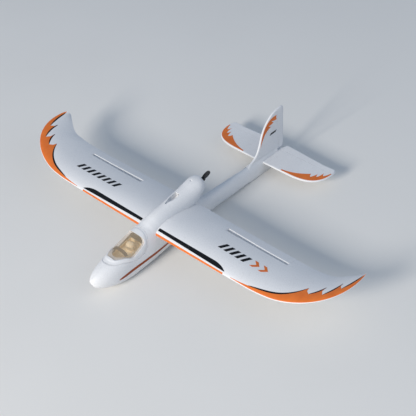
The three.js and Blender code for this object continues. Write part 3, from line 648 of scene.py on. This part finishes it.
def rounded_plate(outline, grow, edge, rows=7):
    """A plate whose rim is rounded over a depth of edge, with its thickness along the third axis."""
    base = even_outline(np.array(outline))
    rings = []
    half = PLATE / 2 + grow
    for angle in np.linspace(-90, 90, 2 * rows + 1):
        turn = math.radians(angle)
        inset = edge * (1 - math.cos(turn)) - grow
        height = np.full(len(base), half * math.sin(turn))
        rings.append(np.column_stack([offset_outline(base, -inset), height]))
    flat = offset_outline(base, -edge - 0.8 + grow)
    rings.insert(0, np.column_stack([flat, np.full(len(base), -half)]))
    rings.append(np.column_stack([flat, np.full(len(base), half)]))
    count = len(base)
    points = np.vstack(rings)
    faces = [tuple(range(count)), tuple(range(len(points) - count, len(points)))]
    for r in range(len(rings) - 1):
        for i in range(count):
            a, b = r * count + i, r * count + (i + 1) % count
            faces.append((a, b, b + count, a + count))
    return face_outward(mesh_object("plate", points, faces))


def stab_plate(grow=0.0, rows=7):
    y, half = STAB["y"], STAB["half_span"]
    right = path(
        (0, y),
        (78, y + 1),
        [(120, y + 3), (half, y + 18), (half, 523)],
        [(half, 533), (134, 538)],
        (108, 536.5),
        (20, LENGTH),
    )
    left = [p * (-1, 1) for p in right[1:][::-1]]
    plate = rounded_plate(right + left, grow, STAB_EDGE, rows)
    plate.data.transform(Matrix.Translation((0, -y, 0)))
    plate.data.transform(Matrix.Rotation(-math.atan(STAB["droop"]), 4, "X"))
    return moved(plate, 0, y, STAB["z"])


def fin_outline():
    bottom, top = 32.4, 131.3
    return path(
        (420, bottom),
        (430, 42),
        [(446, 46), (455.5, 56), (461, 70)],
        [(469, 88), (472, 106), (499, 124)],
        [(508, 129.5), (521, top), (530, top)],
        [(539.5, top), (539, 121)],
        (535, 64),
        (534, 41),
        [(533, 35), (528, bottom)],
    )


def fin_plate(grow=0.0, rows=7):
    plate = rounded_plate(fin_outline(), grow, FIN_EDGE, rows)
    points = vertices(plate)
    set_vertices(plate, points[:, [2, 0, 1]])
    return face_outward(plate)


def behind_elevator(lean, offset):
    y, z = ELEVATOR_HINGE
    face = y + offset
    front = [(face, z + 5), (face, z), (face + lean * 10, z - 10)]
    return front + [(LENGTH + 10, z - 10), (LENGTH + 10, z + 5)]


def behind_rudder(lean, offset):
    y, x = RUDDER_HINGE
    face = y + offset
    rear = [(x + 10, LENGTH + 20), (x - 14, LENGTH + 20)]
    return [(x + 10, face), *rear, (x - 14, face + lean * 14), (x, face)]


def tail_surfaces():
    whole = stab_plate()
    stab = combine(copy_of(whole), "DIFFERENCE", prism(behind_elevator(0, -GAP / 2), "x", -200, 200))
    elevator = combine(
        whole, "INTERSECT", prism(behind_elevator(0.55, GAP / 2), "x", -200, 200))
    notch = [(-4.2, 527), (4.2, 527), (7, LENGTH + 5), (-7, LENGTH + 5)]
    combine(elevator, "DIFFERENCE", prism(notch, "z", 0, FAR))
    whole = fin_plate()
    fin = combine(copy_of(whole), "DIFFERENCE", prism(behind_rudder(0, -GAP / 2), "z", 0, 2 * FAR))
    rudder = combine(whole, "INTERSECT", prism(behind_rudder(0.55, GAP / 2), "z", 0, 2 * FAR))
    return stab, elevator, fin, rudder


# ---------------------------------------------------------------- propeller
def propeller_solid():
    """Two thin twisted blades on a hub."""
    radii = np.concatenate([[1.5], np.linspace(5, 34, 14), [35.5, 36.6, 37.4, 37.9]])
    blades = []
    for turn in (35, 215):
        rings = []
        for radius in radii:
            share = radius / 38
            chord = 6.5 + 3 * math.sin(math.pi * share)
            if share > 0.85:
                chord *= math.sqrt(max(1 - ((share - 0.85) / 0.15) ** 2, 0.02))
            pitch = math.radians(50 - 25 * math.sqrt(share))
            thickness = 2.2 - 1.3 * share
            angles = np.arange(28) / 28 * 2 * math.pi
            across = chord / 2 * np.cos(angles)
            through = thickness / 2 * np.sin(angles)
            rings.append(np.column_stack([
                across * math.cos(pitch) - through * math.sin(pitch),
                across * math.sin(pitch) + through * math.cos(pitch),
                np.full(28, radius),
            ]))
        blade = loft("blade", rings)
        blade.data.transform(Matrix.Rotation(math.radians(turn), 4, "Y"))
        blades.append(blade)
    hub = bar((0, -3.5, 0), (0, 3.5, 0), 4.5, 48)
    rim = bar((0, -3.5, 0), (0, -2.6, 0), 5.2, 48)
    combine(hub, "UNION", rim, *blades)
    combine(hub, "DIFFERENCE", bar((0, -10, 0), (0, 10, 0), 1.3, 24))
    return moved(hub, 0, 298.5, POD_AXIS_Z)


# ---------------------------------------------------------------- decals
FILM = (0.05, 0.17) # the film lies between these heights above the foam


def film_shell(make, lower):
    """The film over a whole surface, on its upper side only when lower is a shift down."""
    shell = combine(make(FILM[1]), "DIFFERENCE", make(FILM[0]))
    if lower:
        combine(shell, "DIFFERENCE", moved(make(FILM[0]), *lower))
    return shell


def film_patch(shell, outline, axis, low, high):
    return combine(copy_of(shell), "INTERSECT", prism(outline, axis, low, high))


FLAME_EDGES = [
    path(
        (206, 151),
        [(238, 152.6), (272, 156.8), (294, 166.5)],
        [(312.5, 174.6), (328.5, 188.5), (336, 210.5)],
    ),
    path((345.5, 197), [(355, 204), (361, 215), (361, 227.5)]),
    path((367, 207), [(376, 219), (380, 235), (378.5, 251)]),
    path((385.5, 236), [(392.5, 250), (396, 268), (395, 287)]),
]


def beside(edge, distance):
    """An open edge moved sideways, to its left where distance is positive."""
    edge = np.array(edge)
    heading = np.gradient(edge, axis=0)
    heading /= np.linalg.norm(heading, axis=1)[:, None]
    return edge + np.column_stack([-heading[:, 1], heading[:, 0]]) * np.reshape(distance, (-1, 1))


def wing_flame():
    """The orange tip band, from a point on the leading edge to the tip, with three tongues behind."""
    inner = FLAME_EDGES[0] + [
        point
        for bend, edge in zip(((338.5, 202), (361, 215), (379.5, 242)), FLAME_EDGES[1:])
        for point in [np.array(bend, float)] + edge
    ]
    rim = beside([p for p in LEADING_TIP if p[1] < 292], 0.6)
    return inner + list(rim[::-1]) + [(206, leading_y(206) + 0.8)]


def crescent(edge, width, start=0.0):
    """A sliver beside an edge: widest halfway along, and gone at both ends."""
    shares = np.linspace(0, 1, 40)
    edge = along(edge, start + (1 - start) * shares)
    swollen = beside(edge, width * np.sin(math.pi * shares) ** 0.6)
    return list(edge) + list(swollen[-2:0:-1])


def leading_line():
    """The thin orange line just above the nose of the wing."""
    ends = (22.5, 188)
    return [(x, leading_y(x) - 1) for x in ends] + [(x, leading_y(x) + 1.4) for x in ends[::-1]]


def black_bar():
    return path(
        (22.5, 152.7),
        (22.5, 158.2),
        (160, 161.6),
        [(174, 161.4), (184, 157.2), (189.5, 153.6)],
        (187, 153.2),
    )


def stab_flame(side=1):
    inner = path(
        (51.4, 469.6),
        [(72, 472), (92, 482), (106.8, 496)],
        [(108, 490), (110, 488), (112, 487)],
        [(115, 493), (117, 499), (117.1, 504.7)],
        [(118.5, 498), (120, 495.5), (122, 494.5)],
        [(124.5, 501), (125.5, 508), (125, 514)],
        [(127, 508.5), (128.5, 506), (130.5, 505)],
        [(133.5, 511), (136, 516), (136, 521)],
        steps=10,
    )
    outer = path((138.6, 521), [(138.4, 484), (119, 469), (78, 467.4)], (51.4, 466.6), steps=24)
    return [p * (side, 1) for p in inner + outer]


def fin_flame():
    """The orange band behind the fin's leading edge, with its tongues pointing back."""
    front = path(
        (464.4, 64.1),
        [(466.5, 80), (473, 99), (485.5, 110)],
        [(494, 117), (505, 121), (517, 117.6)],
        steps=20,
    )
    rear = path(
        (517, 117.6),
        [(514.5, 116), (513.6, 112), (516.7, 108.4)],
        [(511, 108), (505, 109.5), (501, 112)],
        [(502, 109), (504, 107), (506.8, 105.4)],
        [(501, 104.5), (496, 103.5), (491.5, 104.5)],
        [(493, 102), (496, 100), (499, 99)],
        [(492, 99), (482, 95), (474, 83.5)],
        [(469, 76), (466, 70), (464.4, 64.1)],
        steps=8,
    )
    return front + rear[1:-1]


def fin_mark():
    """A plain slanted bar on the fin's side."""
    return [(492.5, 79.4), (510.5, 79.4), (515, 83.6), (497, 83.6)]


def side_stripe():
    """The stripe low on the fuselage side: a blunt front end, tapering towards the tail."""
    return path(
        (46.5, 24.8),
        [(46.6, 27.4), (58, 29.6), (80, 30.2)],
        (122, 31),
        [(155, 31.4), (180, 29), (235, 30)],
        [(205, 26.5), (165, 24), (122, 24.7)],
        (80, 23.6),
        [(60, 23), (46.4, 21.6), (46.5, 24.8)],
        steps=16,
    )[:-1]


def slanted_bars(x, y, count, width, height, pitch, slant=0.45):
    """A row of plain slanted bars along x."""
    bars = []
    for k in range(count):
        left = x + k * pitch
        lean = slant * height
        bars.append([
            (left, y), (left + width, y), (left + width + lean, y + height), (left + lean, y + height)])
    return bars


def chevron(x, y, size):
    """A plain arrowhead pointing outboard."""
    return [
        (x, y), (x + size * 0.45, y), (x + size, y + size / 2), (x + size * 0.45, y + size),
        (x, y + size), (x + size * 0.55, y + size / 2)]


# ---------------------------------------------------------------- materials
def new_material(name):
    material = bpy.data.materials.new(name)
    material.use_nodes = True
    nodes, links = material.node_tree.nodes, material.node_tree.links
    shader = nodes["Principled BSDF"]
    place = nodes.new("ShaderNodeTexCoord")
    return material, nodes, links, shader, place.outputs["Object"]


def add_noise(nodes, links, place, scale, detail=3.0):
    noise = nodes.new("ShaderNodeTexNoise")
    noise.inputs["Scale"].default_value = scale
    noise.inputs["Detail"].default_value = detail
    links.new(place, noise.inputs["Vector"])
    return noise.outputs["Fac"]


def add_ramp(nodes, links, source, low, high, low_at=0.3, high_at=0.7):
    """A ramp between two colours, or two grey levels."""
    ramp = nodes.new("ShaderNodeValToRGB")
    ends = [(c, c, c) if isinstance(c, (int, float)) else c for c in (low, high)]
    for element, at, colour in zip(ramp.color_ramp.elements, (low_at, high_at), ends):
        element.position = at
        element.color = (*colour, 1)
    links.new(source, ramp.inputs["Fac"])
    return ramp.outputs["Color"]


def add_bump(nodes, links, height, strength, distance, normal=None):
    bump = nodes.new("ShaderNodeBump")
    bump.inputs["Strength"].default_value = strength
    bump.inputs["Distance"].default_value = distance
    links.new(height, bump.inputs["Height"])
    if normal is not None:
        links.new(normal, bump.inputs["Normal"])
    return bump.outputs["Normal"]


def foam_material(name, light=(0.83, 0.83, 0.84), dark=(0.76, 0.765, 0.78)):
    """Moulded foam: beads pressed flat against each other under a satin skin."""
    material, nodes, links, shader, place = new_material(name)
    bead = nodes.new("ShaderNodeTexVoronoi")
    bead.feature = "DISTANCE_TO_EDGE"
    bead.inputs["Scale"].default_value = 260
    links.new(place, bead.inputs["Vector"])
    seam = add_ramp(nodes, links, bead.outputs["Distance"], 0.0, 1.0, 0.0, 0.09)
    tone = nodes.new("ShaderNodeTexVoronoi")
    tone.inputs["Scale"].default_value = 260
    links.new(place, tone.inputs["Vector"])
    patch = add_ramp(nodes, links, add_noise(nodes, links, place, 9), dark, light, 0.25, 0.65)
    mix = nodes.new("ShaderNodeMix")
    mix.data_type = "RGBA"
    mix.blend_type = "MULTIPLY"
    mix.inputs["Factor"].default_value = 0.07
    links.new(patch, mix.inputs["A"])
    links.new(seam, mix.inputs["B"])
    links.new(mix.outputs["Result"], shader.inputs["Base Color"])
    rough = add_ramp(nodes, links, tone.outputs["Color"], 0.42, 0.56, 0.0, 1.0)
    links.new(rough, shader.inputs["Roughness"])
    fine = add_bump(nodes, links, add_noise(nodes, links, place, 1400, 2), 0.12, 0.0002)
    links.new(add_bump(nodes, links, seam, 0.16, 0.0003, fine), shader.inputs["Normal"])
    shader.inputs["Specular IOR Level"].default_value = 0.42
    shader.inputs["Subsurface Weight"].default_value = 0.04
    shader.inputs["Subsurface Radius"].default_value = (0.004, 0.004, 0.004)
    return material


def film_material(name, colour, worn, roughness):
    """Printed film: smooth and glossy, with faint ripples and slightly uneven ink."""
    material, nodes, links, shader, place = new_material(name)
    ink = add_ramp(nodes, links, add_noise(nodes, links, place, 60), worn, colour)
    links.new(ink, shader.inputs["Base Color"])
    rough = add_ramp(nodes, links, add_noise(nodes, links, place, 220), roughness, roughness + 0.12)
    links.new(rough, shader.inputs["Roughness"])
    ripples = add_bump(nodes, links, add_noise(nodes, links, place, 160), 0.08, 0.0003)
    links.new(ripples, shader.inputs["Normal"])
    shader.inputs["Specular IOR Level"].default_value = 0.25
    return material


def glazing_material():
    """Tinted clear plastic: amber, a little hazy, with fine moulding ripples."""
    material, nodes, links, shader, place = new_material("glazing")
    amber = add_ramp(
        nodes, links, add_noise(nodes, links, place, 30), (0.72, 0.54, 0.34), (0.80, 0.62, 0.41))
    links.new(amber, shader.inputs["Base Color"])
    rough = add_ramp(nodes, links, add_noise(nodes, links, place, 90), 0.06, 0.14)
    links.new(rough, shader.inputs["Roughness"])
    ripples = add_bump(nodes, links, add_noise(nodes, links, place, 45, 1), 0.1, 0.0006)
    links.new(ripples, shader.inputs["Normal"])
    shader.inputs["Alpha"].default_value = 0.2
    shader.inputs["Coat Weight"].default_value = 0.6
    return material


def moulded_material(name, colour, spread=0.12, roughness=0.4, grain=900, metal=0.0):
    """Moulded, cast or turned material with a fine surface grain and slight tone changes."""
    material, nodes, links, shader, place = new_material(name)
    dark = tuple(c * (1 - spread) for c in colour)
    tone = add_ramp(nodes, links, add_noise(nodes, links, place, 70), dark, colour)
    links.new(tone, shader.inputs["Base Color"])
    rough = add_ramp(nodes, links, add_noise(nodes, links, place, 300), roughness - 0.06, roughness + 0.08)
    links.new(rough, shader.inputs["Roughness"])
    texture = add_bump(nodes, links, add_noise(nodes, links, place, grain), 0.2, 0.0001)
    links.new(texture, shader.inputs["Normal"])
    shader.inputs["Metallic"].default_value = metal
    return material


def striped_material(name, colour, other, axis, scale, roughness, metal=0.0, depth=0.0002):
    """Windings, weave or turning marks: fine bands across one axis."""
    material, nodes, links, shader, place = new_material(name)
    wave = nodes.new("ShaderNodeTexWave")
    wave.bands_direction = axis
    wave.inputs["Scale"].default_value = scale
    wave.inputs["Distortion"].default_value = 0.6
    links.new(place, wave.inputs["Vector"])
    stripes = add_ramp(nodes, links, wave.outputs["Fac"], other, colour, 0.1, 0.7)
    links.new(stripes, shader.inputs["Base Color"])
    rough = add_ramp(nodes, links, add_noise(nodes, links, place, 250), roughness - 0.05, roughness + 0.08)
    links.new(rough, shader.inputs["Roughness"])
    links.new(add_bump(nodes, links, wave.outputs["Fac"], 0.5, depth), shader.inputs["Normal"])
    shader.inputs["Metallic"].default_value = metal
    return material


FOAM = foam_material("foam")
ORANGE = film_material("orange_film", (0.82, 0.2, 0.035), (0.72, 0.165, 0.03), 0.3)
DEEP_ORANGE = film_material("deep_orange_film", (0.36, 0.07, 0.012), (0.27, 0.05, 0.01), 0.35)
BLACK = film_material("black_film", (0.004, 0.004, 0.005), (0.007, 0.007, 0.008), 0.34)
GLAZING = glazing_material()
# The tray's cream tint and brightness are painted amber light: they stand in for light coming through the
# tinted window, which the see-through pane passes untinted.
TUB = moulded_material("cockpit_tray", (1.0, 0.82, 0.56), 0.05, 0.6)
TRIM = moulded_material("dark_trim", (0.045, 0.045, 0.05), 0.3, 0.45)
BLACK_NYLON = moulded_material("black_nylon", (0.02, 0.02, 0.022), 0.3, 0.34)
NYLON = moulded_material("nylon", (0.78, 0.77, 0.73), 0.06, 0.42)
SERVO_BLUE = moulded_material("servo_case", (0.03, 0.12, 0.42), 0.15, 0.28)
RECEIVER_GREY = moulded_material("receiver_case", (0.4, 0.41, 0.42), 0.1, 0.4)
WRAP = moulded_material("battery_wrap", (0.03, 0.09, 0.34), 0.2, 0.25)
SHRINK = moulded_material("heat_shrink", (0.03, 0.032, 0.04), 0.3, 0.35)
CARBON = striped_material("carbon", (0.03, 0.03, 0.033), (0.012, 0.012, 0.013), "X", 700, 0.35)
STEEL = striped_material("steel", (0.62, 0.63, 0.65), (0.45, 0.46, 0.48), "Y", 900, 0.28, 1.0, 0.00003)
ANODISED = striped_material("anodised", (0.42, 0.43, 0.46), (0.3, 0.31, 0.33), "Y", 500, 0.3, 1.0, 0.00004)
COPPER = striped_material("copper", (0.72, 0.33, 0.15), (0.35, 0.13, 0.05), "Z", 500, 0.4, 0.9)
WEBBING = striped_material("webbing", (0.04, 0.04, 0.045), (0.015, 0.015, 0.017), "X", 380, 0.9)
LEAD = moulded_material("lead", (0.35, 0.02, 0.015), 0.2, 0.4)

NODE_MATERIALS = {
    "window_bow": TRIM,
    "wing_spar": CARBON,
    "battery": WRAP,
    "battery_strap": WEBBING,
    "speed_controller": SHRINK,
    "receiver": RECEIVER_GREY,
    "battery_lead": LEAD,
    "motor_mount": BLACK_NYLON,
    "motor_stator": COPPER,
    "motor_bell": ANODISED,
    "propeller_nut": STEEL,
    "hatch_magnet_left": STEEL,
    "hatch_magnet_right": STEEL,
    "cabin_magnet_left": STEEL,
    "cabin_magnet_right": STEEL,
}
for link in ("elevator", "rudder", "left_aileron", "right_aileron"):
    NODE_MATERIALS[f"{link}_servo"] = SERVO_BLUE
    NODE_MATERIALS[f"{link}_arm"] = NYLON
    NODE_MATERIALS[f"{link}_horn"] = NYLON
    NODE_MATERIALS[f"{link}_pushrod"] = STEEL
for node, material in NODE_MATERIALS.items():
    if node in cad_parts:
        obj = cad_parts[node]
        obj.data.materials.clear()
        obj.data.materials.append(material)


# ---------------------------------------------------------------- the model
def place_film(shell, outline, axis, low, high, name, body, material):
    return publish(film_patch(shell, outline, axis, low, high), name, body, material, crease=60)


def build_fuselage():
    for half, side in zip(fuselage_halves(), ("left", "right")):
        publish(half, f"skin_{side}", "airframe", FOAM, [f"fuselage_{side}"])
    publish(hatch_shell(), "hatch_skin", "hatch", FOAM, ["canopy_hatch"])
    publish(window_pane(), "window_pane", "hatch", GLAZING, ["canopy_window"])
    publish(cockpit_tray(), "cockpit_tray", "hatch", TUB, ["cockpit_tub"])
    shell = film_shell(lambda grow: body_solid(BODY, -grow, low=40, high=260, pitch=1.2, sides=160), None)
    for name, low, high in (("left", 1, FAR), ("right", -FAR, -1)):
        place_film(shell, side_stripe(), "x", low, high, f"side_stripe_{name}", "airframe", DEEP_ORANGE)
    drop(shell)


def build_wings():
    whole = wing_solid()
    panel = wing_panel(whole)
    aileron = combine(copy_of(whole), "INTERSECT", aileron_region(0.4, GAP / 2, GAP))
    drop(whole)
    upper = film_shell(lambda grow: wing_solid(grow, low_x=ROOT_X), (0, 0, -0.3))
    flame = film_patch(upper, wing_flame(), "z", 30, 140)
    slivers = [crescent(FLAME_EDGES[0], 3.4, 0.25)] + [crescent(edge, 3) for edge in FLAME_EDGES[1:]]
    shadow, *others = [film_patch(upper, sliver, "z", 30, 140) for sliver in slivers]
    combine(shadow, "UNION", *others)
    line = film_patch(upper, leading_line(), "z", 30, 140)
    bar_film = film_patch(upper, black_bar(), "z", 30, 140)
    films = {
        "flame": (flame, ORANGE),
        "flame_edge": (shadow, BLACK),
        "edge_line": (line, ORANGE),
        "black_bar": (bar_film, BLACK),
    }
    for side in ("left", "right"):
        turn = copy_of if side == "left" else mirrored
        publish(turn(panel), f"{side}_panel_skin", f"{side}_panel", FOAM, [f"{side}_wing"])
        publish(turn(aileron), f"{side}_aileron_skin", f"{side}_aileron", FOAM, [f"{side}_aileron"])
        for name, (film, material) in films.items():
            publish(turn(film), f"{side}_{name}", f"{side}_panel", material, crease=60)
    drop(panel, aileron, flame, shadow, line, bar_film)
    for k, outline in enumerate(slanted_bars(140, 190, 5, 7.5, 17, 13.5)):
        place_film(upper, outline, "z", 30, 140, f"left_bar_{k}", "left_panel", BLACK)
    for k in range(2):
        outline = chevron(215 + 20 * k, 191, 17)
        place_film(upper, outline, "z", 30, 140, f"left_chevron_{k}", "left_panel", ORANGE)
    right = mirrored(upper)
    for k, outline in enumerate(slanted_bars(-250, 189, 8, 8, 15, 15)):
        place_film(right, outline, "z", 30, 140, f"right_bar_{k}", "right_panel", BLACK)
    drop(upper, right)


def build_tail():
    stab, elevator, fin, rudder = tail_surfaces()
    publish(stab, "stabilizer_skin", "airframe", FOAM, ["horizontal_stabilizer"])
    publish(elevator, "elevator_skin", "elevator", FOAM, ["elevator"])
    publish(fin, "fin_skin", "airframe", FOAM, ["vertical_fin"])
    publish(rudder, "rudder_skin", "rudder", FOAM, ["rudder"])
    shell = film_shell(stab_plate, (0, 0, -0.5))
    for side, name in ((1, "left"), (-1, "right")):
        place_film(shell, stab_flame(side), "z", 0, FAR, f"stab_flame_{name}", "airframe", ORANGE)
    drop(shell)
    shell = film_shell(fin_plate, None)
    for low, high, name in ((0.5, 20, "left"), (-20, -0.5, "right")):
        place_film(shell, fin_flame(), "x", low, high, f"fin_flame_{name}", "airframe", ORANGE)
        place_film(shell, fin_mark(), "x", low, high, f"fin_mark_{name}", "airframe", BLACK)
    drop(shell)


def build_propeller():
    publish(propeller_solid(), "propeller_blades", "rotor", BLACK_NYLON, ["propeller"])


# ---------------------------------------------------------------- stage
def add_camera():
    """The view from the front left, above the left wing."""
    right, down, forward = (
        (0.72355, 0.68587, -0.07781), (0.40281, -0.51108, -0.75930), (-0.56055, 0.51805, -0.64607))
    camera = bpy.data.cameras.new("camera")
    camera.lens = 90.9
    camera.sensor_width = 36
    obj = bpy.data.objects.new("camera", camera)
    axes = Matrix((right, [-v for v in down], [-v for v in forward])).transposed()
    obj.matrix_world = Matrix.Translation((1.1643, -1.0417, 1.3540)) @ axes.to_4x4()
    bpy.context.scene.collection.objects.link(obj)
    bpy.context.scene.camera = obj


def add_light(name, location, size, power, colour=(1, 1, 1)):
    light = bpy.data.lights.new(name, "AREA")
    light.size = size
    light.energy = power
    light.color = colour
    obj = bpy.data.objects.new(name, light)
    obj.location = location
    obj.rotation_euler = (Vector((0, 0, 0.05)) - Vector(location)).to_track_quat("-Z", "Y").to_euler()
    bpy.context.scene.collection.objects.link(obj)


def add_stage():
    floor = mesh_object("floor", [(-4, -4, 0), (4, -4, 0), (4, 4, 0), (-4, 4, 0)], [(0, 1, 2, 3)])
    material, nodes, links, shader, place = new_material("floor")
    tone = add_ramp(
        nodes, links, add_noise(nodes, links, place, 2), (0.80, 0.785, 0.755), (0.83, 0.815, 0.785))
    links.new(tone, shader.inputs["Base Color"])
    shader.inputs["Roughness"].default_value = 0.9
    floor.data.materials.append(material)
    world = bpy.data.worlds.new("studio")
    world.use_nodes = True
    world.node_tree.nodes["Background"].inputs["Color"].default_value = (0.62, 0.77, 1.0, 1)
    world.node_tree.nodes["Background"].inputs["Strength"].default_value = 0.42
    bpy.context.scene.world = world
    add_light("key", (0.28, -4.6, 2.2), 1.5, 235, (1.0, 0.95, 0.88))
    add_light("fill", (2.0, 0.6, 1.8), 1.8, 6, (0.9, 0.95, 1.0))
    bpy.context.scene.view_settings.view_transform = "Standard"


add_camera()
build_fuselage()
build_wings()
build_tail()
build_propeller()
add_stage()
